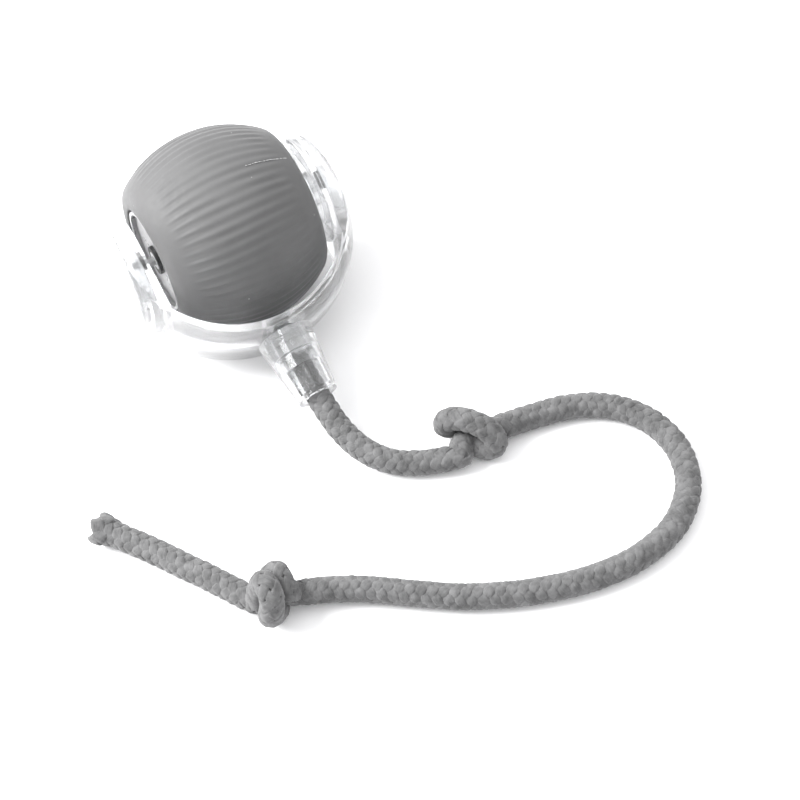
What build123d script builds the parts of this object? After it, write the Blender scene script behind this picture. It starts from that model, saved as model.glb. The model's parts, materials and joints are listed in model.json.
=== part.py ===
from build123d import *
import math
import os

# Self-rolling pet toy: a motorised drum turns on an axle between the two domed ends of a clear
# C-shaped yoke, and a clear stem on the yoke holds a knotted rope tail.
#
# Units are millimetres. +X runs along the drum's axle and +Z is up. The rope tail trails
# towards -Y. The drum stands on the floor at z = 0. The origin is the middle of the toy's
# footprint without the rope.

# ---------------------------------------------------------------- driving dimensions
DRUM_R = 31.5  # largest radius of the silicone sleeve
DRUM_Y = 14.2  # drum axis ahead of the origin
DRUM_Z = DRUM_R  # drum axis above the floor
TILT = 20.0  # degrees that the stem slopes down to the floor

ROPE_R = 4.0  # braided rope
FIT = 0.05  # radial running clearance on axles and pins
GAP = 0.1  # clearance between the drum's own stacked pieces

# sleeve and drum casing, as radii along the drum axis
SLEEVE_T = 2.8
SHOULDER_X, SHOULDER_R = 22.5, 24.0  # where the barrel curve ends
END_X, END_R = 25.0, 19.5  # outer corner of the end face
LIP_X, LIP_R = 24.7, 17.0  # inner lip round the window
SHELL_MID_R = DRUM_R - SLEEVE_T - GAP
SHELL_END_X, SHELL_END_R = 23.0, 20.8
SHELL_SHOULDER_X, SHELL_SHOULDER_R = 21.6, 22.2
WALL = 1.8

# end windows, seals and bearings
WINDOW_R, WINDOW_X, WINDOW_T = 16.4, 21.1, 1.8
RIM_INNER_R, RIM_X = 15.3, 24.4  # raised rim round each window
FLANGE_R, FLANGE_T = 18.2, 1.2
SEAL_R, SEAL_T = 4.6, 1.1
BUSH_R, BUSH_FLANGE_R = 2.3, 2.9
AXLE_R, AXLE_END = 1.5, 31.6

# yoke
YOKE_OFFSET = 2.5  # the band's circle sits this far towards the stem
YOKE_R = 38.6
BAND_T = 4.2
BAND_HALF = 10.5  # half width of the band at the stem
FACE_X = 28.5  # inner face of each end plate
PLATE_T = 2.0
DOME_R = 17.5
DOME_WALL = 1.6
DOME_ROUND = 2.0
WASHER_R, WASHER_SUNK, WASHER_PROUD = 3.0, 0.6, 0.9
HUB_R = 5.7

# stem and collar, as distances from the drum axis
STEM_ROOT, STEM_SEAM, STEM_MOUTH = 37.2, 47.2, 61.4
STEM_ROOT_R, STEM_SEAM_R, STEM_MOUTH_R = 9.4, 7.9, 6.4
SPIGOT_R, SPIGOT_L = 6.1, 4.5
SOCKET_R, SOCKET_START = 4.6, 38.6
PIN_R, PIN_L = 0.8, 6.6
ROPE_INSET = 48.0  # where the rope's cut end sits
ROPE_CLAMPED = 58.4  # up to here the rope is held straight in the collar
ROPE_LEVELS = 66.4  # here the rope starts to bend down to the floor

# gears
MODULE = 0.5
SUN_TEETH, SMALL_TEETH, BIG_TEETH, PINION_TEETH = 36, 12, 30, 10
SUN_TO_GEAR = MODULE * (SUN_TEETH + SMALL_TEETH) / 2
GEAR_TO_PINION = MODULE * (BIG_TEETH + PINION_TEETH) / 2
GEAR_Z = SUN_TO_GEAR
MOTOR_Z = GEAR_Z - GEAR_TO_PINION
SUN_X = (16.4, 18.9)
BIG_X = (12.9, 15.2)

# motor and its plate
MOTOR_R = 6.0
MOTOR_X = (-6.0, 10.0)
BOSS_R = 2.0
PLATE_X = (11.0, 12.4)
GEAR_PIN_R = 0.75
SCREW_R = 0.85

# power button, in the casing wall under the sleeve
BUTTON_X = -8.0
BUTTON_R = 2.4
BUTTON_TRAVEL = 0.6
PORT_X = 5.5

# rope route: floor points of the rope's centreline, in the toy's frame
ROPE_LEAD = [
    (1.2, -59.1, 5.9),
    (5.6, -69.2, 4.5),
    (13.5, -76.8, 4.0),
    (24.0, -81.0, 4.8),
]
ROPE_MIDDLE = [
    (42.0, -79.2, 5.2),
    (48.0, -79.7, 4.4),
    (55.6, -80.9, 4.0),
    (64.0, -82.9, 4.0),
    (74.0, -88.6, 4.0),
    (80.9, -98.1, 4.0),
    (83.4, -109.6, 4.0),
    (80.9, -121.2, 4.0),
    (74.0, -130.7, 4.0),
    (63.8, -136.6, 4.0),
    (51.5, -138.8, 4.0),
    (37.5, -137.6, 4.0),
    (20.8, -132.5, 4.0),
    (3.0, -123.4, 4.0),
    (-11.5, -112.0, 4.0),
    (-23.7, -103.0, 4.3),
    (-34.2, -99.0, 5.2),
]
ROPE_TAIL = [
    (-48.3, -92.7, 5.2),
    (-53.2, -82.9, 4.3),
    (-59.6, -72.0, 4.0),
    (-67.2, -59.3, 4.0),
    (-75.5, -48.0, 4.0),
]

# knots: middle, heading in degrees, radius and length of each one's rounded outer shape
KNOT_ONE = ((33.2, -78.6), 2.0, 8.2, 20.5)
KNOT_TWO = ((-42.6, -97.6), 55.0, 8.8, 21.5)
KNOT_ROUND = 6.0


# ---------------------------------------------------------------- helpers
def rod(radius, x0, x1, y=0.0, z=0.0):
    """A round bar along X."""
    return Pos((x0 + x1) / 2, y, z) * Rot(0, 90, 0) * Cylinder(radius, abs(x1 - x0))


def ring(outer, inner, x0, x1, y=0.0, z=0.0):
    """A round tube along X."""
    slack = 1.0
    low, high = min(x0, x1), max(x0, x1)
    return rod(outer, low, high, y, z) - rod(inner, low - slack, high + slack, y, z)


def block(x0, x1, y0, y1, z0, z1):
    """A box given by its limits."""
    centre = Pos((x0 + x1) / 2, (y0 + y1) / 2, (z0 + z1) / 2)
    return centre * Box(x1 - x0, y1 - y0, z1 - z0)


def stem_cone(r0, r1, y0, y1):
    """A cone along the stem, with radius r0 at distance y0 from the axle and r1 at y1."""
    return Pos(0, -(y0 + y1) / 2, 0) * Rot(90, 0, 0) * Cone(r0, r1, y1 - y0)


def stem_rod(radius, y0, y1):
    """A round bar along the stem, from distance y0 to y1 from the axle."""
    return Pos(0, -(y0 + y1) / 2, 0) * Rot(90, 0, 0) * Cylinder(radius, y1 - y0)


def turned(edges):
    """The solid of revolution about X of a closed outline of (x, radius) edges."""
    return revolve(make_face(edges), Axis.X)


def mirrored(solid, side):
    """The solid itself for side +1, and its mirror image in x = 0 for side -1."""
    return solid if side > 0 else mirror(solid, Plane.YZ)


def gear(teeth, x0, x1, phase):
    """A spur gear along X with straight-flanked teeth; phase turns it, in degrees."""
    pitch_r = MODULE * teeth / 2
    root_r, tip_r = pitch_r - 1.3 * MODULE, pitch_r + 0.85 * MODULE
    half_pitch = math.pi * MODULE / 4 - 0.09
    half_root, half_tip = half_pitch + 0.16, half_pitch - 0.17
    sink = 0.3
    tooth = make_face(
        Polyline(
            (root_r - sink, -half_root),
            (tip_r, -half_tip),
            (tip_r, half_tip),
            (root_r - sink, half_root),
            close=True,
        )
    )
    outline = Circle(root_r) + [
        Rot(0, 0, phase + i * 360 / teeth) * tooth for i in range(teeth)
    ]
    return extrude(Plane.YZ.offset(x0) * outline, x1 - x0)


def rope(points):
    """A rope tube along straight runs that are joined by large tangent arcs."""
    runs = [Vector(*b) - Vector(*a) for a, b in zip(points, points[1:])]
    radii = []
    for first, second in zip(runs, runs[1:]):
        turn = math.radians(first.get_angle(second))
        shorter = min(first.length, second.length)
        radii.append(0.45 * shorter / math.tan(turn / 2))
    path = FilletPolyline(*points, radius=radii)
    tube = sweep(Plane(path @ 0, z_dir=path % 0) * Circle(ROPE_R), path)
    print(
        f"rope: length {path.length:.1f}, radii {[round(r, 1) for r in radii]},",
        f"volume ratio {tube.volume / (math.pi * ROPE_R**2 * path.length):.4f}",
    )
    return tube


# ---------------------------------------------------------------- drum
def barrel_outline(mid_r, shoulder, end, lip, inner):
    """Outer edges of a barrel section from the left inner corner round to the right one."""
    sx, sr = shoulder
    ex, er = end
    lx, lr = lip
    ix, ir = inner
    bulge = ((sx + ex) / 2 + 0.35, (sr + er) / 2 + 0.45)
    left = [
        Line((-ix, ir), (-ix, lr)),
        Line((-ix, lr), (-lx, lr)),
        Line((-lx, lr), (-ex, er)),
        ThreePointArc((-ex, er), (-bulge[0], bulge[1]), (-sx, sr)),
    ]
    right = [
        ThreePointArc((sx, sr), bulge, (ex, er)),
        Line((ex, er), (lx, lr)),
        Line((lx, lr), (ix, lr)),
        Line((ix, lr), (ix, ir)),
    ]
    return left + [ThreePointArc((-sx, sr), (0, mid_r), (sx, sr))] + right


def make_sleeve():
    inner_x = SHELL_END_X + GAP
    inner_r = SHELL_END_R + GAP
    corner = (SHELL_SHOULDER_X + GAP, SHELL_SHOULDER_R + GAP)
    outline = barrel_outline(
        DRUM_R, (SHOULDER_X, SHOULDER_R), (END_X, END_R), (LIP_X, LIP_R), (inner_x, inner_r)
    )
    outline += [
        Line((inner_x, inner_r), corner),
        ThreePointArc(corner, (0, SHELL_MID_R + GAP), (-corner[0], corner[1])),
        Line((-corner[0], corner[1]), (-inner_x, inner_r)),
    ]
    return turned(outline)


def shell_half():
    """The right half of the casing: a barrel wall with an end wall round the window."""
    end_in = WINDOW_X
    shoulder = (SHELL_SHOULDER_X, SHELL_SHOULDER_R)
    wall_end = (20.0, SHELL_SHOULDER_R - 1.2)
    arc_mid = shell_radius(SHELL_SHOULDER_X / 2)
    outline = [
        Line((0, SHELL_MID_R), (0, SHELL_MID_R - WALL)),
        ThreePointArc(
            (0, SHELL_MID_R - WALL),
            (wall_end[0] / 2, (SHELL_MID_R - WALL) * 0.75 + wall_end[1] * 0.25 + 0.05),
            wall_end,
        ),
        Line(wall_end, (end_in, FLANGE_R + 0.3)),
        Line((end_in, FLANGE_R + 0.3), (end_in, WINDOW_R + GAP)),
        Line((end_in, WINDOW_R + GAP), (SHELL_END_X, WINDOW_R + GAP)),
        Line((SHELL_END_X, WINDOW_R + GAP), (SHELL_END_X, SHELL_END_R)),
        Line((SHELL_END_X, SHELL_END_R), shoulder),
        ThreePointArc(shoulder, (SHELL_SHOULDER_X / 2, arc_mid), (0, SHELL_MID_R)),
    ]
    return turned(outline)


def casing_envelope():
    """The barrel that the casing's outer wall fills, between its shoulders."""
    shoulder = (SHELL_SHOULDER_X, SHELL_SHOULDER_R)
    left = (-SHELL_SHOULDER_X, SHELL_SHOULDER_R)
    return turned(
        [
            ThreePointArc(left, (0, SHELL_MID_R), shoulder),
            Line(shoulder, (SHELL_SHOULDER_X, 0)),
            Line((SHELL_SHOULDER_X, 0), (-SHELL_SHOULDER_X, 0)),
            Line((-SHELL_SHOULDER_X, 0), left),
        ]
    )


def shell_radius(x):
    """Outer radius of the casing at x, on the arc through its middle and its shoulders."""
    rise = SHELL_MID_R - SHELL_SHOULDER_R
    arc_r = (SHELL_SHOULDER_X**2 + rise**2) / (2 * rise)
    return SHELL_MID_R - arc_r + math.sqrt(arc_r**2 - x**2)


def screw_places():
    """The three screw positions (y, z) round the gear plate."""
    spread = 21.0
    return [
        (spread * math.cos(math.radians(a)), spread * math.sin(math.radians(a)))
        for a in (20, 160, 270)
    ]


def make_shells():
    right = shell_half()
    boss_r, boss_end = 2.4, 20.5
    for y, z in screw_places():
        right += rod(boss_r, PLATE_X[1], boss_end, y, z) & casing_envelope()
        right -= rod(SCREW_R + FIT, PLATE_X[1] - 1, PLATE_X[1] + 6, y, z)
    port_slot = block(PORT_X - 4.7, PORT_X + 4.7, -1.8, 1.8, 20, DRUM_R)
    left = mirror(shell_half(), Plane.YZ)
    left -= Pos(BUTTON_X, 0, 26) * Cylinder(BUTTON_R + 0.2, 8)
    return {"shell_left": left, "shell_right": right - port_slot}


def make_drum_ends():
    parts = {}
    outer_x = WINDOW_X + WINDOW_T
    for name, side in (("left", -1), ("right", 1)):
        window = rod(WINDOW_R, WINDOW_X, outer_x)
        window += rod(FLANGE_R, WINDOW_X - FLANGE_T, WINDOW_X)
        window += ring(WINDOW_R, RIM_INNER_R, outer_x, RIM_X)
        window -= rod(BUSH_R, WINDOW_X - 3, outer_x + 1)
        bush = rod(BUSH_R, WINDOW_X - FLANGE_T - 0.6, outer_x)
        bush += rod(BUSH_FLANGE_R, outer_x, outer_x + SEAL_T)
        bush -= rod(AXLE_R + FIT, WINDOW_X - 4, outer_x + 3)
        seal = ring(SEAL_R, BUSH_FLANGE_R, outer_x, outer_x + SEAL_T)
        parts["window_" + name] = mirrored(window, side)
        parts["bearing_" + name] = mirrored(bush, side)
        parts["seal_" + name] = mirrored(seal, side)
    return parts


def make_gear_plate():
    plate_r = 23.6
    plate = rod(plate_r, *PLATE_X)
    for y in (-17.0, 17.0):
        plate -= rod(6.0, PLATE_X[0] - 1, PLATE_X[1] + 1, y, -10.0)
    plate -= rod(BOSS_R + FIT, PLATE_X[0] - 1, PLATE_X[1] + 1, 0, MOTOR_Z)
    plate -= rod(GEAR_PIN_R, PLATE_X[0] - 1, PLATE_X[1] + 1, 0, GEAR_Z)
    screw_hole = 1.1
    for y, z in screw_places() + motor_screw_places():
        plate -= rod(screw_hole, PLATE_X[0] - 1, PLATE_X[1] + 1, y, z)
    return plate


def motor_screw_places():
    """The two motor screw positions (y, z), either side of the motor's boss."""
    return [(-4.2, MOTOR_Z), (4.2, MOTOR_Z)]


def make_screws():
    head = 1.8
    plate_screws = []
    for y, z in screw_places():
        screw = rod(SCREW_R, PLATE_X[0], PLATE_X[1] + 5, y, z)
        plate_screws.append(screw + rod(head, PLATE_X[0] - 1.2, PLATE_X[0], y, z))
    motor_screws = []
    for y, z in motor_screw_places():
        screw = rod(0.7, MOTOR_X[1], PLATE_X[1], y, z)
        motor_screws.append(screw + rod(1.3, PLATE_X[1], PLATE_X[1] + 0.6, y, z))
    return Compound(plate_screws), Compound(motor_screws)


def make_motor():
    can = rod(MOTOR_R, *MOTOR_X, 0, MOTOR_Z)
    can += rod(BOSS_R, MOTOR_X[1], PLATE_X[1], 0, MOTOR_Z)
    shaft_hole = 0.5 + FIT
    can -= rod(shaft_hole, MOTOR_X[1] - 2, PLATE_X[1] + 1, 0, MOTOR_Z)
    for y, z in motor_screw_places():
        can -= rod(0.7, MOTOR_X[1] - 1, MOTOR_X[1] + 1, y, z)
    can += rod(MOTOR_R, PLATE_X[0] - 1.0, PLATE_X[0], 0, MOTOR_Z) - rod(
        MOTOR_R - 1, PLATE_X[0] - 2, PLATE_X[0] + 1, 0, MOTOR_Z
    )
    cap = rod(MOTOR_R - 0.4, MOTOR_X[0] - 1.6, MOTOR_X[0], 0, MOTOR_Z)
    for y in (-3.0, 3.0):
        cap += block(MOTOR_X[0] - 3.2, MOTOR_X[0] - 1.6, y - 0.3, y + 0.3, MOTOR_Z, MOTOR_Z + 1.6)
    return can, cap


def make_gears():
    pinion = gear(PINION_TEETH, *BIG_X, 0)
    pinion = Pos(0, 0, MOTOR_Z) * pinion
    pinion += rod(0.5, MOTOR_X[1] - 1.9, BIG_X[1] + 0.3, 0, MOTOR_Z)
    big_phase = 180 / BIG_TEETH
    small_phase = 180 / SMALL_TEETH
    double = gear(BIG_TEETH, *BIG_X, big_phase)
    double += rod(2.0, BIG_X[1], SUN_X[0])
    double += gear(SMALL_TEETH, *SUN_X, small_phase)
    double -= rod(GEAR_PIN_R + FIT, BIG_X[0] - 1, SUN_X[1] + 1)
    return pinion, Pos(0, 0, GEAR_Z) * double


def make_electronics():
    tray = block(-17, 10.8, -11, 11, -10.9, -9.7)
    for y in (-11, 9.8):
        tray += block(-17, 10.8, y, y + 1.2, -16, -10.9)
    battery = fillet(block(-16.5, 9, -9.2, 9.2, -18.4, -11.2).edges(), 1.2)
    board = block(-15, 10, -9, 9, -8.6, -7.4)
    chip = block(-11, -6, -2.5, 2.5, -7.4, -6.4)
    leds = [
        Pos(x, -6, -6.9) * Cylinder(1.5, 1.0) + Pos(x, -6, -6.0) * Sphere(1.3)
        for x in (-13, 8)
    ]
    stand = block(-13, 11, -4, 4, 17.7, 18.7)
    port = block(PORT_X - 4.5, PORT_X + 4.5, -1.6, 1.6, 18.7, 26.6)
    port -= block(PORT_X - 4.1, PORT_X + 4.1, -1.2, 1.2, 20.7, 28)
    port += block(PORT_X - 3.2, PORT_X + 3.2, -0.35, 0.35, 20.7, 25.4)
    switch = block(BUTTON_X - 2.4, BUTTON_X + 2.4, -2.4, 2.4, 18.7, 22.4)
    switch += Pos(BUTTON_X, 0, 22.8) * Cylinder(1.2, 0.8)
    return {
        "chassis_tray": tray,
        "battery": battery,
        "circuit_board": board + chip,
        "led_left": leds[0],
        "led_right": leds[1],
        "button_board": stand,
        "charge_port": port,
        "tact_switch": switch,
    }


def make_button():
    stem_low = 23.2 + BUTTON_TRAVEL
    top = shell_radius(BUTTON_X - BUTTON_R) - 0.3
    button = Pos(BUTTON_X, 0, (stem_low + top) / 2) * Cylinder(1.0, top - stem_low)
    cap_t = 1.6
    return button + Pos(BUTTON_X, 0, top - cap_t / 2) * Cylinder(BUTTON_R, cap_t)


# ---------------------------------------------------------------- yoke
def yoke_ball(radius):
    """The ball whose surface the band and both dome covers share."""
    return Pos(0, -YOKE_OFFSET, 0) * Sphere(radius)


def arm_outline():
    """The band seen along the axle: its sides run from the domes' rims in to the stem."""
    far = 45.0
    slope = math.atan2(far, BAND_HALF)
    lean = math.asin(DOME_R / math.hypot(far, BAND_HALF)) - (math.pi / 2 - slope)
    touch = (-DOME_R * math.sin(lean), DOME_R * math.cos(lean))
    corners = [touch, (-far, BAND_HALF), (-far, -BAND_HALF), (touch[0], -touch[1])]
    return make_face(Polyline(*corners, close=True))


def make_band():
    """The crowned C-band with flat inner walls and rounded edges."""
    reach = 60
    band = yoke_ball(YOKE_R) & extrude(Plane.YZ * arm_outline(), reach, both=True)
    arcs = band.edges().filter_by(GeomType.CIRCLE)
    band = fillet([e for e in arcs if e.bounding_box().min.Y < -0.5 * YOKE_R], 0.9)
    slot = Pos(0, -YOKE_OFFSET) * Circle(YOKE_R - BAND_T) & Rectangle(2 * FACE_X, 2 * reach)
    return band - extrude(slot, reach, both=True)


def make_yoke_frame():
    """The clear C-band with its end plates, hub tubes and the stem root, as one moulding."""
    frame = make_band()
    rib_h, hub_end = 2.4, 36.0
    for side in (-1, 1):
        plate_out = side * (FACE_X + PLATE_T)
        frame -= mirrored(dome_body(YOKE_R + GAP, DOME_R + GAP, DOME_ROUND), side)
        frame += rod(DOME_R, side * FACE_X, plate_out)
        frame += ring(12.0, 11.2, plate_out, plate_out + side * rib_h)
        frame += rod(HUB_R, plate_out, side * hub_end)
        frame -= rod(AXLE_R, side * (FACE_X - 1), side * AXLE_END)
        frame -= rod(WASHER_R, side * (FACE_X - 1), side * (FACE_X + WASHER_SUNK))
    frame += stem_cone(STEM_ROOT_R, STEM_SEAM_R, STEM_ROOT, STEM_SEAM)
    frame += stem_rod(SPIGOT_R, STEM_SEAM, STEM_SEAM + SPIGOT_L)
    frame -= stem_rod(SOCKET_R, SOCKET_START, STEM_MOUTH)
    pin_half = PIN_L / 2
    return frame - block(-pin_half, pin_half, -SOCKET_START, -30, -PIN_R, PIN_R)


def dome_body(radius, rim, soften):
    """A slice of the yoke's ball, cut to a disc with a rounded rim, on the right end plate."""
    base = FACE_X + PLATE_T
    solid = rod(rim, base, base + 30) & yoke_ball(radius)
    rims = [e for e in solid.edges() if e.center().X > base + 0.5 and e.length > rim]
    return fillet(rims, soften)


def dome_cover():
    """The hollow clear cover over the right end plate."""
    return dome_body(YOKE_R, DOME_R, DOME_ROUND) - dome_body(
        YOKE_R - DOME_WALL, DOME_R - DOME_WALL, DOME_ROUND - 1.0
    )


def make_collar():
    """The tapered screw collar, with six grip ribs that reach in to the rope."""
    rib_y0, rib_y1 = STEM_SEAM + SPIGOT_L + 0.2, STEM_MOUTH - 1.4
    collar = stem_cone(STEM_SEAM_R, STEM_MOUTH_R, STEM_SEAM, STEM_MOUTH)
    collar -= stem_rod(SPIGOT_R + GAP, STEM_SEAM - 1, STEM_SEAM + SPIGOT_L + GAP)
    collar -= stem_cone(5.6, 5.2, STEM_SEAM, rib_y1)
    for i in range(6):
        rib = block(-0.4, 0.4, -rib_y1 - 0.2, -rib_y0, ROPE_R - 0.5, 5.8)
        collar += Rot(0, 60 * i, 0) * rib
    return collar - stem_rod(ROPE_R, STEM_SEAM - 1, STEM_MOUTH + 1)


def make_yoke_hardware():
    parts = {}
    for name, side in (("left", -1), ("right", 1)):
        inner_end = 15.8 if side > 0 else 18.0
        parts["axle_" + name] = rod(AXLE_R, side * inner_end, side * AXLE_END)
        washer = ring(WASHER_R, AXLE_R, FACE_X - WASHER_PROUD, FACE_X + WASHER_SUNK)
        parts["thrust_washer_" + name] = mirrored(washer, side)
    parts["axle_clip"] = ring(3.0, AXLE_R, -19.2, -18.5)
    sun = gear(SUN_TEETH, *SUN_X, 0) - rod(AXLE_R, SUN_X[0] - 1, SUN_X[1] + 1)
    parts["sun_gear"] = Rot(-TILT, 0, 0) * sun
    parts["socket_insert"] = stem_rod(SOCKET_R, SOCKET_START, ROPE_INSET)
    pin_y = SOCKET_START - PIN_R
    parts["cross_pin"] = Pos(0, -pin_y, 0) * Rot(0, 90, 0) * Cylinder(PIN_R, PIN_L)
    parts["rope_root"] = stem_rod(ROPE_R, ROPE_INSET, ROPE_CLAMPED)
    return parts


# ---------------------------------------------------------------- rope
def on_stem(distance):
    """The point of the sloping stem's centreline at that distance from the drum axis."""
    slope = math.radians(TILT)
    return (0, DRUM_Y - distance * math.cos(slope), DRUM_Z - distance * math.sin(slope))


def make_knot(place, heading, radius, length):
    """The outer shape of a pulled-tight overhand knot, lying on the floor."""
    body = Rot(0, 90, 0) * Cylinder(radius, length)
    body = fillet(body.edges().filter_by(GeomType.CIRCLE), KNOT_ROUND)
    return Pos(*place, radius) * Rot(0, 0, heading) * body


def make_rope():
    lead = [on_stem(ROPE_CLAMPED), on_stem(ROPE_LEVELS)] + ROPE_LEAD
    return {
        "rope_lead": rope(lead),
        "knot_one": make_knot(*KNOT_ONE),
        "rope_middle": rope(ROPE_MIDDLE),
        "knot_two": make_knot(*KNOT_TWO),
        "rope_tail": rope(ROPE_TAIL),
    }


# ---------------------------------------------------------------- assembly
def yoke_parts():
    right = dome_cover()
    parts = {
        "yoke_frame": make_yoke_frame(),
        "dome_cover_right": right,
        "dome_cover_left": mirror(right, Plane.YZ),
        "rope_collar": make_collar(),
    }
    parts.update(make_yoke_hardware())
    return parts


def drum_parts():
    plate_screws, motor_screws = make_screws()
    can, cap = make_motor()
    pinion, double = make_gears()
    parts = {
        "sleeve": make_sleeve(),
        "gear_plate": make_gear_plate(),
        "gear_pin": rod(GEAR_PIN_R, PLATE_X[0], SUN_X[1] + 0.3, 0, GEAR_Z),
        "plate_screws": plate_screws,
        "motor_screws": motor_screws,
        "motor_can": can,
        "motor_cap": cap,
        "motor_pinion": pinion,
        "reduction_gear": double,
        "power_button": make_button(),
    }
    parts.update(make_shells())
    parts.update(make_drum_ends())
    parts.update(make_electronics())
    return parts


def main():
    os.makedirs("parts", exist_ok=True)
    at_axle = Pos(0, DRUM_Y, DRUM_Z)
    tilted = at_axle * Rot(TILT, 0, 0)
    parts = {name: tilted * solid for name, solid in yoke_parts().items()}
    parts.update({name: at_axle * solid for name, solid in drum_parts().items()})
    parts.update(make_rope())
    for name, solid in parts.items():
        export_step(solid, f"parts/{name}.step")


main()
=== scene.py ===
import json
import math

import bpy
import numpy as np
from mathutils import Matrix, Vector


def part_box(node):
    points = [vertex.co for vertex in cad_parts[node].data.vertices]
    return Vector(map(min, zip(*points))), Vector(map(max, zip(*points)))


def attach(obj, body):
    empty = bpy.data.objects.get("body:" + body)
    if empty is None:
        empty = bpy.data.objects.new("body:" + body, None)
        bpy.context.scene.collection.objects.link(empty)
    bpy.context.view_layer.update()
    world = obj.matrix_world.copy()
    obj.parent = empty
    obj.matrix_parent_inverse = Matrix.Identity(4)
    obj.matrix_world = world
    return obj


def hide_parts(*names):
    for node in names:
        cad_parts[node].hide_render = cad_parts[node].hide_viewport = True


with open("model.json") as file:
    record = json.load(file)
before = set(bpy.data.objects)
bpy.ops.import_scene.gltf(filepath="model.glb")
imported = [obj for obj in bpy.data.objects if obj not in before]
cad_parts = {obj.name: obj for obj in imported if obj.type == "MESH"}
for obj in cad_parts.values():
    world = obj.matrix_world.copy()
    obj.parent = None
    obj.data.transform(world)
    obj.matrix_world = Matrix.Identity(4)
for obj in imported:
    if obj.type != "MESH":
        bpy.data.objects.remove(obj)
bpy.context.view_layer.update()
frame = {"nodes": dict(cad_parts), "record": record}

# Looks for the self-rolling pet toy: a silicone-sleeved drum in a clear domed yoke, with a
# knotted braided rope tail. Units are metres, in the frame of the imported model.

nodes = frame["nodes"]
MM = 0.001


# ------------------------------------------------------------------ camera
VIEW_RIGHT = Vector((0.872105, -0.482653, -0.080492))
VIEW_UP = Vector((0.430541, 0.678725, 0.594950))
VIEW_BACK = Vector((-0.232523, -0.553514, 0.799722))
VIEW_FROM = Vector((-0.11118, -0.37071, 0.46207))


def make_camera():
    data = bpy.data.cameras.new("camera")
    data.lens, data.sensor_width = 85.0, 36.0
    data.clip_start, data.clip_end = 0.02, 20.0
    cam = bpy.data.objects.new("camera", data)
    bpy.context.scene.collection.objects.link(cam)
    turn = Matrix((VIEW_RIGHT, VIEW_UP, VIEW_BACK)).transposed().to_4x4()
    cam.matrix_world = Matrix.Translation(VIEW_FROM) @ turn
    bpy.context.scene.camera = cam


make_camera()


# ------------------------------------------------------------------ small tools
def new_object(name, points, faces, material=None, smooth=True):
    mesh = bpy.data.meshes.new(name)
    mesh.from_pydata([tuple(p) for p in points], [], [tuple(f) for f in faces])
    mesh.validate()
    if smooth:
        mesh.polygons.foreach_set("use_smooth", [True] * len(mesh.polygons))
    obj = bpy.data.objects.new(name, mesh)
    bpy.context.scene.collection.objects.link(obj)
    if material:
        mesh.materials.append(material)
    return obj


def grid_faces(rings, around, start=0):
    """Quads between successive rings of points."""
    faces = []
    for i in range(rings - 1):
        for j in range(around):
            k = (j + 1) % around
            a, b = start + i * around, start + (i + 1) * around
            faces.append((a + j, a + k, b + k, b + j))
    return faces


def smoothstep(x, low, high):
    t = np.clip((x - low) / (high - low), 0, 1)
    return t * t * (3 - 2 * t)


def unit(v):
    return v / np.maximum(np.linalg.norm(v, axis=-1, keepdims=True), 1e-12)


# ------------------------------------------------------------------ the rope's route
STEM_SLOPE = math.radians(20)
AXLE = (0.0, 0.0142, 0.0315)
ROPE_INSET, ROPE_CLAMPED = 0.048, 0.0584  # the collar holds the rope between these


def on_stem(distance):
    """The point of the stem's centreline at that distance from the drum axis."""
    return (
        0.0,
        AXLE[1] - distance * math.cos(STEM_SLOPE),
        AXLE[2] - distance * math.sin(STEM_SLOPE),
    )


LEAD = [
    on_stem(ROPE_CLAMPED),
    on_stem(0.0664),
    (0.0012, -0.0591, 0.0059),
    (0.0056, -0.0692, 0.0045),
    (0.0135, -0.0768, 0.0040),
    (0.0240, -0.0810, 0.0048),
]
MIDDLE = [
    (0.0420, -0.0792, 0.0052),
    (0.0480, -0.0797, 0.0044),
    (0.0556, -0.0809, 0.0040),
    (0.0640, -0.0829, 0.0040),
    (0.0740, -0.0886, 0.0040),
    (0.0809, -0.0981, 0.0040),
    (0.0834, -0.1096, 0.0040),
    (0.0809, -0.1212, 0.0040),
    (0.0740, -0.1307, 0.0040),
    (0.0638, -0.1366, 0.0040),
    (0.0515, -0.1388, 0.0040),
    (0.0375, -0.1376, 0.0040),
    (0.0208, -0.1325, 0.0040),
    (0.0030, -0.1234, 0.0040),
    (-0.0115, -0.1120, 0.0040),
    (-0.0237, -0.1030, 0.0043),
    (-0.0342, -0.0990, 0.0052),
]
TAIL = [
    (-0.0483, -0.0927, 0.0052),
    (-0.0532, -0.0829, 0.0043),
    (-0.0596, -0.0720, 0.0040),
    (-0.0672, -0.0593, 0.0042),
    (-0.0755, -0.0480, 0.0052),
]


def route(name, points):
    """The smooth line of a route, read from its NURBS spline."""
    curve = bpy.data.curves.new(name, "CURVE")
    curve.dimensions = "3D"
    spline = curve.splines.new("NURBS")
    spline.points.add(len(points) - 1)
    for place, point in zip(spline.points, points):
        place.co = (*point, 1.0)
    spline.order_u = 3
    spline.use_endpoint_u = True
    spline.resolution_u = 24
    obj = bpy.data.objects.new(name, curve)
    bpy.context.scene.collection.objects.link(obj)
    seen = obj.evaluated_get(bpy.context.evaluated_depsgraph_get())
    mesh = bpy.data.meshes.new_from_object(seen)
    line = np.array([v.co for v in mesh.vertices], float)
    bpy.data.objects.remove(obj)
    bpy.data.curves.remove(curve)
    bpy.data.meshes.remove(mesh)
    return line


def evenly(line, step):
    """The same line in equal steps close to the given one."""
    along = np.r_[0, np.cumsum(np.linalg.norm(np.diff(line, axis=0), axis=1))]
    count = max(2, round(along[-1] / step)) + 1
    at = np.linspace(0, along[-1], count)
    return np.stack([np.interp(at, along, line[:, k]) for k in range(3)], 1)


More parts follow.
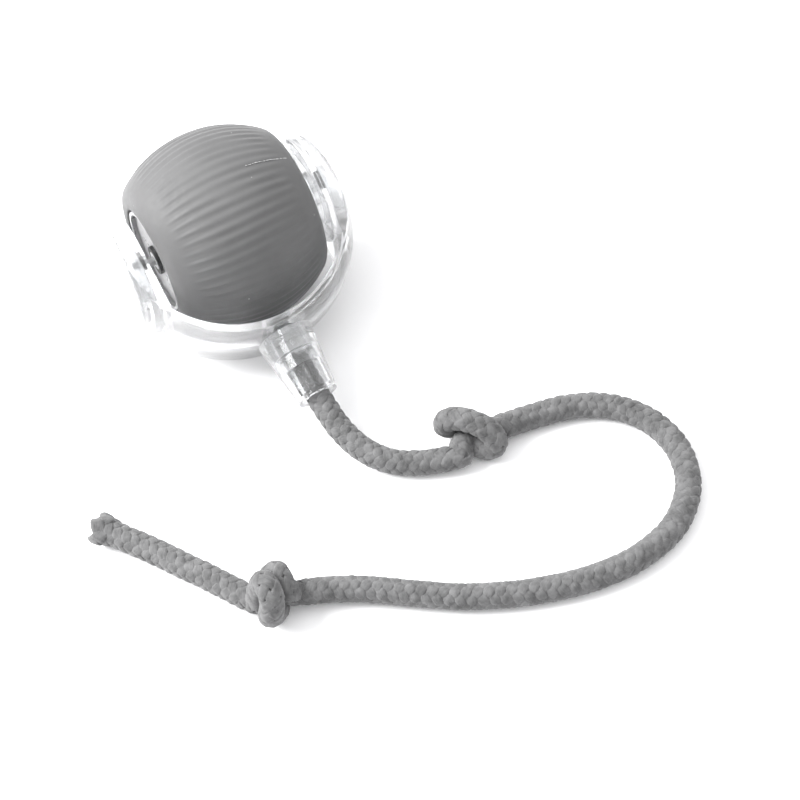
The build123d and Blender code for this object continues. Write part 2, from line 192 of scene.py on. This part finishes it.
# ------------------------------------------------------------------ pulled-tight knots
KNOT_COUNT, KNOT_STEPS = 96, 700
KNOT_HIDDEN = 9.5  # rope in a knot beyond the gap that it spans, in squeezed thicknesses
KNOT_HALF = 0.0065  # half the gap between the ends while the knot is drawn tight
KNOT_FLOOR = 0.0037  # lowest place of the rope's middle while it lies on the floor


def loose_knot(centre, heading, roll, mirror, thick):
    """The line of a wide open overhand knot, turned about its own axis by roll."""
    t = np.linspace(-2.1, 2.1, KNOT_COUNT)
    shape = [t**3 - 3 * t, -0.8 * (t**4 - 4 * t**2), mirror * 0.12 * (t**5 - 10 * t)]
    shape = np.stack(shape, 1) * 0.8 * thick
    quarter = KNOT_COUNT // 4
    shape[:, 1] -= shape[quarter:-quarter, 1].mean()
    across = np.cross((0, 0, 1), heading)
    y_axis = math.cos(roll) * across + math.sin(roll) * np.array((0, 0, 1))
    line = centre + shape[:, :1] * heading + shape[:, 1:2] * y_axis
    line += shape[:, 2:] * np.cross(heading, y_axis)
    return evenly(line, np.linalg.norm(np.diff(line, axis=0), axis=1).sum() / (KNOT_COUNT - 1))


def keep_apart(line, near, thick):
    """Move crossing stretches of rope out of each other."""
    index = np.arange(len(line))
    apart = np.abs(index[:, None] - index[None])
    between = line[:, None] - line[None]
    far = np.sqrt((between**2).sum(2))
    close = (apart > near) & (far < thick)
    push = np.where(close, (thick - far) / np.maximum(far, 1e-9), 0)[:, :, None]
    line += 0.5 * (push * between).sum(1) / np.maximum(close.sum(1), 1)[:, None]


def keep_length(line, step):
    """Bring each link between neighbouring points back to its length."""
    for first in (0, 1):
        b = line[first + 1 :: 2]
        a = line[first : len(line) - 1 : 2][: len(b)]
        run = b - a
        long = np.sqrt((run**2).sum(1))[:, None]
        pull = 0.5 * (long - step) / long * run
        a += pull
        b -= pull


def tight_knot(ends, ways, centre, heading, roll, mirror, thick):
    """An overhand knot drawn tight and laid on the floor, found by relaxing a rope. It starts
    along heading, and its ends then move to the two given points and directions."""
    ends, ways, centre = np.array(ends), unit(np.array(ways)), np.array(centre)
    heading = np.array((math.cos(heading), math.sin(heading), 0))
    line = loose_knot(centre, heading, roll, mirror, thick)
    loose_step = np.linalg.norm(line[1] - line[0])
    first_ends = np.array([centre - KNOT_HALF * heading, centre + KNOT_HALF * heading])
    gap = np.linalg.norm(ends[1] - ends[0])
    quarter, held = KNOT_COUNT // 4, 5
    for k in range(KNOT_STEPS):
        drawn = min(1.0, k / (0.6 * KNOT_STEPS))
        moved = min(1.0, max(0.0, (k / KNOT_STEPS - 0.5) / 0.4))
        span = (1 - moved) * 2 * KNOT_HALF + moved * gap + KNOT_HIDDEN * thick
        step = (1 - drawn) * loose_step + drawn * span / (KNOT_COUNT - 1)
        pins = (1 - moved) * first_ends + moved * ends
        along = (1 - moved) * heading + moved * ways
        reach = step * np.arange(held)[:, None]
        line += 0.1 * (centre - line[quarter:-quarter].mean(0))
        for _ in range(4):
            line[1:-1] += 0.15 * (line[:-2] + line[2:] - 2 * line[1:-1])
            keep_apart(line, math.ceil(1.25 * thick / step), thick)
            keep_length(line, step)
            line[:held] = 0.4 * line[:held] + 0.6 * (pins[0] + reach * along[0])
            line[-held:] = 0.4 * line[-held:] + 0.6 * (pins[1] - reach[::-1] * along[1])
            if moved > 0:
                line[:, 2] = np.maximum(line[:, 2], KNOT_FLOOR)
    return line


def frames(line, first=(0, 0, 1)):
    """Tangents and two cross directions that don't twist along the line."""
    tangent = unit(np.gradient(line, axis=0))
    normal = np.zeros_like(line)
    v = np.array(first, float)
    for i, t in enumerate(tangent):
        v = v - t * (v @ t)
        v = v / np.linalg.norm(v)
        normal[i] = v
    return tangent, normal, np.cross(tangent, normal)


# ------------------------------------------------------------------ the braid
CARRIERS = 8
BRAID_PITCH = 0.0126
STEP = 0.00055
STRAND_SECTION, CORE_SECTION = 14, 10
STRAND_HALF_W, STRAND_HALF_T = 0.00160, 0.00066
STRAND_PATH_R, STRAND_WEAVE = 0.00296, 0.00036
CORE_R = 0.0030
SPLAY_LENGTH, SPLAY = 0.0065, 0.30  # the cut end opens over this length, by this share
FUZZ_PER_MM, FUZZ_LENGTH, FUZZ_R = 9, 0.0009, 0.000028


def squared_ring(count):
    """Points (across, up) round a strand's soft flat section."""
    a = np.linspace(0, 2 * math.pi, count, endpoint=False)
    across = np.sign(np.cos(a)) * np.abs(np.cos(a)) ** 0.8
    return across, np.sign(np.sin(a)) * np.abs(np.sin(a)) ** 0.9


def strand(k, line, axes, along, share, weave):
    """One plaited strand's rings of points, and its own yarn coordinates."""
    rng = np.random.default_rng(11 + k)
    normal, side = axes
    hand = 1 if k % 2 == 0 else -1
    angle = hand * 2 * math.pi * along / BRAID_PITCH + (k // 2) * math.pi / 2
    swell = 1 + 0.02 * np.sin(along / 0.0091 + rng.uniform(0, 6.3))
    r = (STRAND_PATH_R * swell + weave * hand * np.cos(4 * angle)) * share
    spin = np.cos(angle)[:, None] * normal + np.sin(angle)[:, None] * side
    path = line + r[:, None] * spin
    t = unit(np.gradient(path, axis=0))
    out = unit(spin - t * (spin * t).sum(1, keepdims=True))
    flat = np.cross(t, out)
    across, up = squared_ring(STRAND_SECTION)
    plump = 1 + 0.07 * np.sin(along / 0.0037 + rng.uniform(0, 6.3))
    wide = STRAND_HALF_W * share * plump
    thick = STRAND_HALF_T * share
    ring = path[:, None] + (wide[:, None] * across)[:, :, None] * flat[:, None]
    ring += (thick[:, None] * up)[:, :, None] * out[:, None]
    run = np.r_[0, np.cumsum(np.linalg.norm(np.diff(path, axis=0), axis=1))]
    lay = np.empty((len(line), STRAND_SECTION, 3))
    lay[:, :, 0] = run[:, None] + 0.05 * k
    lay[:, :, 1] = across * STRAND_HALF_W
    lay[:, :, 2] = up * STRAND_HALF_T
    return ring, lay


def tube_faces(rings, around, base):
    """A closed tube of rings, with both ends capped."""
    faces = grid_faces(rings, around, base)
    faces.append(tuple(base + around - 1 - j for j in range(around)))
    faces.append(tuple(base + (rings - 1) * around + j for j in range(around)))
    return faces


def fuzz(line, axes, share, rng):
    """Stray cotton fibres standing off the rope, as thin three-sided tubes."""
    normal, side = axes
    length = np.linalg.norm(np.diff(line, axis=0), axis=1).sum()
    count = int(FUZZ_PER_MM * length / MM)
    at = rng.integers(1, len(line) - 1, count)
    angle = rng.uniform(0, 2 * math.pi, count)
    spin = np.cos(angle)[:, None] * normal[at] + np.sin(angle)[:, None] * side[at]
    forward = unit(line[at + 1] - line[at - 1])
    lean = rng.uniform(-1.5, 1.5, (count, 1))
    around = rng.uniform(-1.0, 1.0, (count, 1)) * np.cross(forward, spin)
    root = line[at] + (STRAND_PATH_R + 0.4 * STRAND_HALF_T) * share[at][:, None] * spin
    long = FUZZ_LENGTH * rng.uniform(0.4, 1.3, (count, 1))
    middle = root + 0.5 * long * unit(spin + 0.5 * lean * forward + 0.5 * around)
    tip = middle + 0.5 * long * unit(0.4 * spin + lean * forward + around)
    a = np.linspace(0, 2 * math.pi, 3, endpoint=False)
    spokes = np.cos(a)[None, :, None] * forward[:, None] + np.sin(a)[None, :, None] * np.cross(
        forward, spin
    )[:, None]
    rings = [p[:, None] + FUZZ_R * w * spokes for p, w in ((root, 1), (middle, 0.8), (tip, 0.4))]
    return np.stack(rings, 1)


def braid(name, line, axes, along, share, weave, material):
    """Eight plaited strands round a core. axes are the line's cross directions, along is how far
    each point lies from the rope's first end, and share is how full the rope is there."""
    normal, side = axes
    n = len(line)
    points, faces, lay = [], [], []
    base = 0
    for k in range(CARRIERS):
        ring, yarn = strand(k, line, axes, along, share, weave)
        points.append(ring.reshape(-1, 3))
        lay.append(yarn.reshape(-1, 3))
        faces += tube_faces(n, STRAND_SECTION, base)
        base += n * STRAND_SECTION
    c = np.linspace(0, 2 * math.pi, CORE_SECTION, endpoint=False)
    spokes = np.cos(c)[None, :, None] * normal[:, None] + np.sin(c)[None, :, None] * side[:, None]
    core = (line[:, None] + (CORE_R * np.minimum(share, 1))[:, None, None] * spokes).reshape(-1, 3)
    points.append(core)
    lay.append(core)
    faces += tube_faces(n, CORE_SECTION, base)
    base += n * CORE_SECTION
    hairs = fuzz(line, axes, share, np.random.default_rng(5))
    points.append(hairs.reshape(-1, 3))
    lay.append(hairs.reshape(-1, 3))
    for i in range(len(hairs)):
        faces += tube_faces(3, 3, base + 9 * i)
    points = np.concatenate(points)
    points[:, 2] = np.maximum(points[:, 2], 0)  # the rope lies flat where it meets the floor
    obj = new_object(name, points, faces, material)
    layer = obj.data.attributes.new("lay", "FLOAT_VECTOR", "POINT")
    layer.data.foreach_set("vector", np.concatenate(lay).astype(np.float32).ravel())
    return obj


# ------------------------------------------------------------------ materials
def add_material(name):
    mat = bpy.data.materials.new(name)
    mat.use_nodes = True
    tree = mat.node_tree
    return mat, tree, tree.nodes["Principled BSDF"]


def ramp(tree, source, low, high, dark, light):
    node = tree.nodes.new("ShaderNodeValToRGB")
    node.color_ramp.elements[0].position = low
    node.color_ramp.elements[1].position = high
    node.color_ramp.elements[0].color = (*dark, 1)
    node.color_ramp.elements[1].color = (*light, 1)
    tree.links.new(source, node.inputs[0])
    return node.outputs[0]


def noise(tree, vector, scale, detail=4.0, rough=0.55):
    node = tree.nodes.new("ShaderNodeTexNoise")
    node.inputs["Scale"].default_value = scale
    node.inputs["Detail"].default_value = detail
    node.inputs["Roughness"].default_value = rough
    if vector is not None:
        tree.links.new(vector, node.inputs["Vector"])
    return node.outputs["Fac"]


def place(tree):
    return tree.nodes.new("ShaderNodeTexCoord").outputs["Object"]


def stretch(tree, vector, scale):
    node = tree.nodes.new("ShaderNodeMapping")
    node.inputs["Scale"].default_value = scale
    tree.links.new(vector, node.inputs["Vector"])
    return node.outputs["Vector"]


def bump(tree, height, strength, distance, onto=None):
    node = tree.nodes.new("ShaderNodeBump")
    node.inputs["Strength"].default_value = strength
    node.inputs["Distance"].default_value = distance
    tree.links.new(height, node.inputs["Height"])
    if onto is not None:
        tree.links.new(onto, node.inputs["Normal"])
    return node.outputs["Normal"]


def grey(v):
    return (v, v, v * 1.01)


def cotton():
    mat, tree, bsdf = add_material("braided_cotton")
    lay = tree.nodes.new("ShaderNodeAttribute")
    lay.attribute_name = "lay"
    fibre = noise(tree, stretch(tree, lay.outputs["Vector"], (700, 6500, 6500)), 1.0, 3.0)
    cloud = noise(tree, place(tree), 330.0, 4.0)
    mixed = tree.nodes.new("ShaderNodeMath")
    mixed.operation = "MULTIPLY_ADD"
    mixed.inputs[1].default_value = 0.6
    tree.links.new(fibre, mixed.inputs[0])
    tree.links.new(cloud, mixed.inputs[2])
    color = ramp(tree, mixed.outputs[0], 0.55, 1.05, grey(0.070), grey(0.158))
    tree.links.new(color, bsdf.inputs["Base Color"])
    fluff = noise(tree, place(tree), 3200.0, 3.0)
    soft = bump(tree, fluff, 0.35, 0.0002)
    tree.links.new(bump(tree, fibre, 0.6, 0.0003, soft), bsdf.inputs["Normal"])
    bsdf.inputs["Roughness"].default_value = 0.95
    bsdf.inputs["Specular IOR Level"].default_value = 0.1
    bsdf.inputs["Sheen Weight"].default_value = 0.2
    bsdf.inputs["Sheen Roughness"].default_value = 0.5
    return mat


def silicone(name, dark, light):
    mat, tree, bsdf = add_material(name)
    at = place(tree)
    cloud = ramp(tree, noise(tree, at, 60.0, 3.0), 0.3, 0.7, dark, light)
    specks = tree.nodes.new("ShaderNodeTexVoronoi")
    specks.inputs["Scale"].default_value = 105.0
    tree.links.new(at, specks.inputs["Vector"])
    dust = ramp(tree, specks.outputs["Distance"], 0.012, 0.03, (1, 1, 1), (0, 0, 0))
    mix = tree.nodes.new("ShaderNodeMix")
    mix.data_type = "RGBA"
    mix.inputs["B"].default_value = (*grey(0.3), 1)
    tree.links.new(dust, mix.inputs["Factor"])
    tree.links.new(cloud, mix.inputs["A"])
    tree.links.new(mix.outputs["Result"], bsdf.inputs["Base Color"])
    fine = noise(tree, at, 2600.0, 3.0)
    tree.links.new(bump(tree, fine, 0.12, 0.0001), bsdf.inputs["Normal"])
    rough = ramp(tree, noise(tree, at, 500.0), 0.3, 0.7, grey(0.55), grey(0.68))
    tree.links.new(rough, bsdf.inputs["Roughness"])
    bsdf.inputs["Specular IOR Level"].default_value = 0.3
    bsdf.inputs["Sheen Weight"].default_value = 0.1
    return mat


def clear(name, tint, rough, ior=1.45, alpha=1.0, through=1.0):
    mat, tree, bsdf = add_material(name)
    at = place(tree)
    bsdf.inputs["Base Color"].default_value = (*tint, 1)
    color = ramp(tree, noise(tree, at, 90.0, 2.0), 0.3, 0.7, tuple(0.985 * c for c in tint), tint)
    tree.links.new(color, bsdf.inputs["Base Color"])
    bsdf.inputs["Transmission Weight"].default_value = through
    bsdf.inputs["IOR"].default_value = ior
    bsdf.inputs["Alpha"].default_value = alpha
    level = ramp(tree, noise(tree, at, 300.0, 2.0), 0.3, 0.7, grey(rough * 0.7), grey(rough * 1.3))
    tree.links.new(level, bsdf.inputs["Roughness"])
    tree.links.new(bump(tree, noise(tree, at, 140.0, 1.0), 0.06, 0.0005), bsdf.inputs["Normal"])
    return mat


def solid(name, dark, light, rough, metal=0.0, scale=400.0, bumpy=0.08, stretched=(1, 1, 1)):
    """A moulded or machined finish with slight changes of colour, gloss and height."""
    mat, tree, bsdf = add_material(name)
    at = stretch(tree, place(tree), stretched)
    value = noise(tree, at, scale)
    tree.links.new(ramp(tree, value, 0.3, 0.7, dark, light), bsdf.inputs["Base Color"])
    level = ramp(tree, value, 0.3, 0.7, grey(rough * 0.85), grey(min(1, rough * 1.15)))
    tree.links.new(level, bsdf.inputs["Roughness"])
    tree.links.new(bump(tree, value, bumpy, 0.0002), bsdf.inputs["Normal"])
    bsdf.inputs["Metallic"].default_value = metal
    return mat


rope_look = cotton()
sleeve_look = silicone("sleeve_silicone", grey(0.090), grey(0.106))
# The parting-line ridge is real, but its much lighter grey than the sleeve is a painted highlight
# along the ridge.
flash_painted_highlight_look = silicone("silicone_flash_painted_highlight", grey(0.36), grey(0.46))
clear_look = clear("clear_polycarbonate", (0.87, 0.875, 0.88), 0.03, 1.47, 0.88)
window_look = clear("frosted_window", (0.50, 0.50, 0.505), 0.35, 1.4, 1.0, 0.3)
FINISHES = {
    "clear": clear_look,
    "window": window_look,
    "silicone": sleeve_look,
    "rope": rope_look,
    "casing": solid("casing_abs", grey(0.5), grey(0.56), 0.5),
    "steel": solid("ground_steel", grey(0.5), grey(0.62), 0.3, 1.0, 900.0, 0.05, (0.1, 1, 1)),
    "dark_steel": solid("blackened_steel", grey(0.05), grey(0.09), 0.45, 0.6),
    "motor_steel": solid("plated_steel", grey(0.5), grey(0.6), 0.35, 1.0, 600.0),
    "washer": solid("washer_rubber", grey(0.08), grey(0.12), 0.7),
    "seal": solid("seal_rubber", grey(0.05), grey(0.08), 0.6),
    "bush": solid("acetal_white", grey(0.72), grey(0.8), 0.4),
    "gear": solid("acetal_gear", grey(0.7), grey(0.78), 0.4),
    "brass": solid("machined_brass", (0.5, 0.36, 0.14), (0.6, 0.44, 0.18), 0.3, 1.0),
    "carrier": solid("dark_abs", grey(0.03), grey(0.05), 0.5),
    "cell": solid("wrapped_can", (0.2, 0.25, 0.32), (0.25, 0.3, 0.38), 0.35),
    "board": solid("solder_mask", (0.01, 0.09, 0.04), (0.015, 0.12, 0.05), 0.35),
    "led": solid("led_epoxy", grey(0.75), grey(0.82), 0.25),
    "port": solid("plated_port", grey(0.5), grey(0.6), 0.3, 1.0),
    "switch": solid("switch_plastic", grey(0.03), grey(0.05), 0.5),
    "button": solid("button_plastic", grey(0.3), grey(0.36), 0.5),
}
for part in frame["record"]["subparts"]:
    data = nodes[part["node"]].data
    data.materials.clear()
    data.materials.append(FINISHES[part["material_slot"]])


# ------------------------------------------------------------------ rope and knots
lead_line = evenly(route("lead_route", LEAD), STEP)
middle_line = evenly(route("middle_route", MIDDLE), STEP)
tail_line = evenly(route("tail_route", TAIL), STEP)
root_line = evenly(np.array([on_stem(ROPE_INSET), on_stem(ROPE_CLAMPED)]), STEP)


def knot_between(before, after, **turned):
    ways = (before[-1] - before[-8], after[7] - after[0])
    return evenly(tight_knot((before[-1], after[0]), ways, **turned), STEP)


knot_one_line = knot_between(
    lead_line,
    middle_line,
    centre=(0.0330, -0.0776, 0.0092),
    heading=math.radians(22),
    roll=math.radians(282),
    mirror=-1,
    thick=0.0057,
)
knot_two_line = knot_between(
    middle_line,
    tail_line,
    centre=(-0.0434, -0.0984, 0.0084),
    heading=math.radians(138),
    roll=math.radians(132),
    mirror=1,
    thick=0.0058,
)
SPANS = {
    "root": (root_line, "rope_root"),
    "lead": (lead_line, "rope_lead"),
    "knot_one": (knot_one_line, "knot_one"),
    "middle": (middle_line, "rope_middle"),
    "knot_two": (knot_two_line, "knot_two"),
    "tail": (tail_line, "rope_tail"),
}
KNOT_SHARE, ROOT_SHARE = 0.97, 0.94


def make_rope():
    """The braid of every span, with one unbroken plait from the collar to the cut end."""
    whole = np.concatenate([line for line, _ in SPANS.values()])
    _, normal, side = frames(whole)
    along = np.r_[0, np.cumsum(np.linalg.norm(np.diff(whole, axis=0), axis=1))]
    to_end = along[-1] - along
    share = 1 + SPLAY * (1 - smoothstep(to_end, 0, SPLAY_LENGTH))
    made, start = {}, 0
    for name, (line, node) in SPANS.items():
        cut = slice(start, start + len(line))
        start += len(line)
        full, weave = share[cut].copy(), STRAND_WEAVE
        if name.startswith("knot"):
            full *= KNOT_SHARE
            weave = 0.55 * STRAND_WEAVE
        elif name == "root":
            full *= ROOT_SHARE
        made[name] = braid(
            "braid_" + name, line, (normal[cut], side[cut]), along[cut], full, weave, rope_look
        )
        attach(made[name], "yoke")
        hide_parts(node)
    return made


pieces = make_rope()


# ------------------------------------------------------------------ silicone sleeve
SLEEVE_LOW, SLEEVE_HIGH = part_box("sleeve")
SLEEVE_R = (SLEEVE_HIGH[2] - SLEEVE_LOW[2]) / 2
SHOULDER_X, SHOULDER_R = 0.0225, 0.0240
END_X, END_R = 0.0250, 0.0195
LIP_X, LIP_R = 0.0247, 0.0170
INNER_X, INNER_R = 0.0231, 0.0209
INNER_SHOULDER_X, INNER_SHOULDER_R = 0.0217, 0.0223
INNER_MID_R = 0.0287
RIBS, RIB_HEIGHT = 60, 0.00012
RIB_WANDER, RIB_UNEVEN = 0.10, 0.11  # drift round the drum and change of height
AROUND = 600


def arc_through(half, rise_from, rise_to, x):
    """Radius at x on the arc that has rise_to at x = 0 and rise_from at x = half."""
    rise = rise_to - rise_from
    r = (half**2 + rise**2) / (2 * rise)
    return rise_to - r + np.sqrt(r**2 - x**2)


def sleeve_outline():
    """The closed outline (x, radius) of the sleeve, from its inner lip round the outside."""
    x = np.linspace(-SHOULDER_X, SHOULDER_X, 70)
    outside = np.stack([x, arc_through(SHOULDER_X, SHOULDER_R, SLEEVE_R, x)], 1)
    t = np.linspace(0, 1, 9)[1:, None]
    bulge = np.array(((SHOULDER_X + END_X) / 2 + 0.0007, (SHOULDER_R + END_R) / 2 + 0.0008))
    shoulder, end = np.array((SHOULDER_X, SHOULDER_R)), np.array((END_X, END_R))
    right = (1 - t) ** 2 * shoulder + 2 * t * (1 - t) * bulge + t**2 * end
    lip = np.array([(LIP_X + 0.0001, LIP_R + 0.0003), (LIP_X - 0.0002, LIP_R), (INNER_X, LIP_R)])
    right = np.concatenate([right, lip, [(INNER_X, INNER_R)]])
    x = np.linspace(INNER_SHOULDER_X, -INNER_SHOULDER_X, 16)
    inside = np.stack([x, arc_through(INNER_SHOULDER_X, INNER_SHOULDER_R, INNER_MID_R, x)], 1)
    left = right[::-1] * (-1, 1)
    return np.concatenate([left, outside, right, inside])


def make_sleeve():
    """The sleeve with soft, slightly uneven ribs along the axle, which fade near both ends."""
    outline = sleeve_outline()
    x, r = outline[:, :1], outline[:, 1:]
    a = np.linspace(0, 2 * math.pi, AROUND, endpoint=False)[None]
    rng = np.random.default_rng(3)
    wander = np.zeros_like(x * a)
    uneven = np.zeros_like(x * a)
    for turns in range(2, 9):
        p, q, w = rng.uniform(0, 6.3), rng.uniform(0, 6.3), rng.uniform(60, 260)
        wander += RIB_WANDER * np.sin(turns * a + w * x + p)
        uneven += RIB_UNEVEN * np.sin(3 * turns * a - 1.6 * w * x + q)
    wave = np.cos(RIBS * a + wander)
    fine = 0.35 * smoothstep(-x, 0.008, 0.018) * np.cos(2 * RIBS * a + 2 * wander)
    fade = smoothstep(SHOULDER_X - 0.0015 - np.abs(x), 0, 0.005)
    outer = r > INNER_MID_R - 0.5 * (INNER_MID_R - INNER_SHOULDER_R)
    over = arc_through(SHOULDER_X, SHOULDER_R, SLEEVE_R, np.clip(x, -SHOULDER_X, SHOULDER_X))
    outer = outer & (r > over - 0.0004)
    height = RIB_HEIGHT * (wave + fine) * (1 + uneven) * fade - 1.2 * RIB_HEIGHT * fade
    radius = r + np.where(outer, height, 0)
    points = np.stack(
        [np.broadcast_to(x, radius.shape), -radius * np.sin(a), radius * np.cos(a)], 2
    ) + np.array(AXLE)
    rings = len(outline)
    faces = grid_faces(rings, AROUND)
    last = (rings - 1) * AROUND
    for j in range(AROUND):
        k = (j + 1) % AROUND
        faces.append((last + j, last + k, k, j))
    sleeve = new_object("sleeve_ribbed", points.reshape(-1, 3), faces, sleeve_look)
    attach(sleeve, "drum")
    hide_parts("sleeve")


FLASH_AND_HIGHLIGHT_X = (0.0085, 0.0220)
FLASH_AND_HIGHLIGHT_TURNED = math.radians(14)  # round the axle from straight up


def make_flash_line_and_painted_highlight():
    """The thin broken ridge that the mould's parting line leaves on the sleeve, drawn in a much
    lighter grey than the sleeve as a painted highlight along it.
    """
    count, around = 150, 6
    x = np.linspace(*FLASH_AND_HIGHLIGHT_X, count)
    r = arc_through(SHOULDER_X, SHOULDER_R, SLEEVE_R, x)
    rng = np.random.default_rng(8)
    size = 0.00011 + 0.00008 * np.convolve(rng.uniform(-1, 1, count + 4), np.ones(5) / 2.2, "valid")
    size = np.clip(size, 0.00003, 0.00022)
    angle = FLASH_AND_HIGHLIGHT_TURNED + 0.0016 * np.sin(x / 0.0007)
    c = np.linspace(0, 2 * math.pi, around, endpoint=False)
    radius = r[:, None] - 0.00008 + size[:, None] * np.sin(c)
    swing = angle[:, None] + size[:, None] * np.cos(c) / r[:, None]
    points = np.stack(
        [
            np.broadcast_to(x[:, None], radius.shape),
            -radius * np.sin(swing),
            radius * np.cos(swing),
        ],
        2,
    ) + np.array(AXLE)
    ridge = new_object(
        "sleeve_parting_line_painted_highlight", points.reshape(-1, 3), tube_faces(count, around, 0), flash_painted_highlight_look
    )
    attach(ridge, "drum")


make_sleeve()
make_flash_line_and_painted_highlight()


# ------------------------------------------------------------------ stage
FLOOR_HALF = 30.0
SKY_DARK_BELOW, SKY_WHITE_ABOVE, SKY_STRENGTH = 0.06, 0.70, 1.75
KEY_SIZE, KEY_FAR, KEY_POWER = 0.6, 0.9, 20.0


def make_stage():
    half = FLOOR_HALF
    corners = [(-half, -half, 0), (half, -half, 0), (half, half, 0), (-half, half, 0)]
    floor_look = solid("pale_floor", grey(0.86), grey(0.9), 0.8, 0.0, 3.0, 0.02)
    floor = new_object("floor", corners, [(0, 1, 2, 3)], floor_look, smooth=False)
    world = bpy.data.worlds.new("studio")
    bpy.context.scene.world = world
    world.use_nodes = True
    tree = world.node_tree
    split = tree.nodes.new("ShaderNodeSeparateXYZ")
    tree.links.new(tree.nodes.new("ShaderNodeTexCoord").outputs["Generated"], split.inputs[0])
    sky = ramp(tree, split.outputs["Z"], SKY_DARK_BELOW, SKY_WHITE_ABOVE, grey(0.05), (1, 1, 1))
    tree.links.new(sky, tree.nodes["Background"].inputs["Color"])
    tree.nodes["Background"].inputs["Strength"].default_value = SKY_STRENGTH
    data = bpy.data.lights.new("key", "AREA")
    data.size = KEY_SIZE
    data.energy = KEY_POWER
    lamp = bpy.data.objects.new("key", data)
    bpy.context.scene.collection.objects.link(lamp)
    to = (-0.8 * VIEW_RIGHT + 0.4 * VIEW_UP + 0.5 * VIEW_BACK).normalized()
    lamp.location = to * KEY_FAR
    lamp.rotation_mode = "QUATERNION"
    lamp.rotation_quaternion = to.to_track_quat("Z", "Y")


make_stage()
scene = bpy.context.scene
scene.view_settings.view_transform = "Standard"
scene.cycles.max_bounces = 24
scene.cycles.transmission_bounces = 20
scene.cycles.glossy_bounces = 10
scene.cycles.transparent_max_bounces = 40
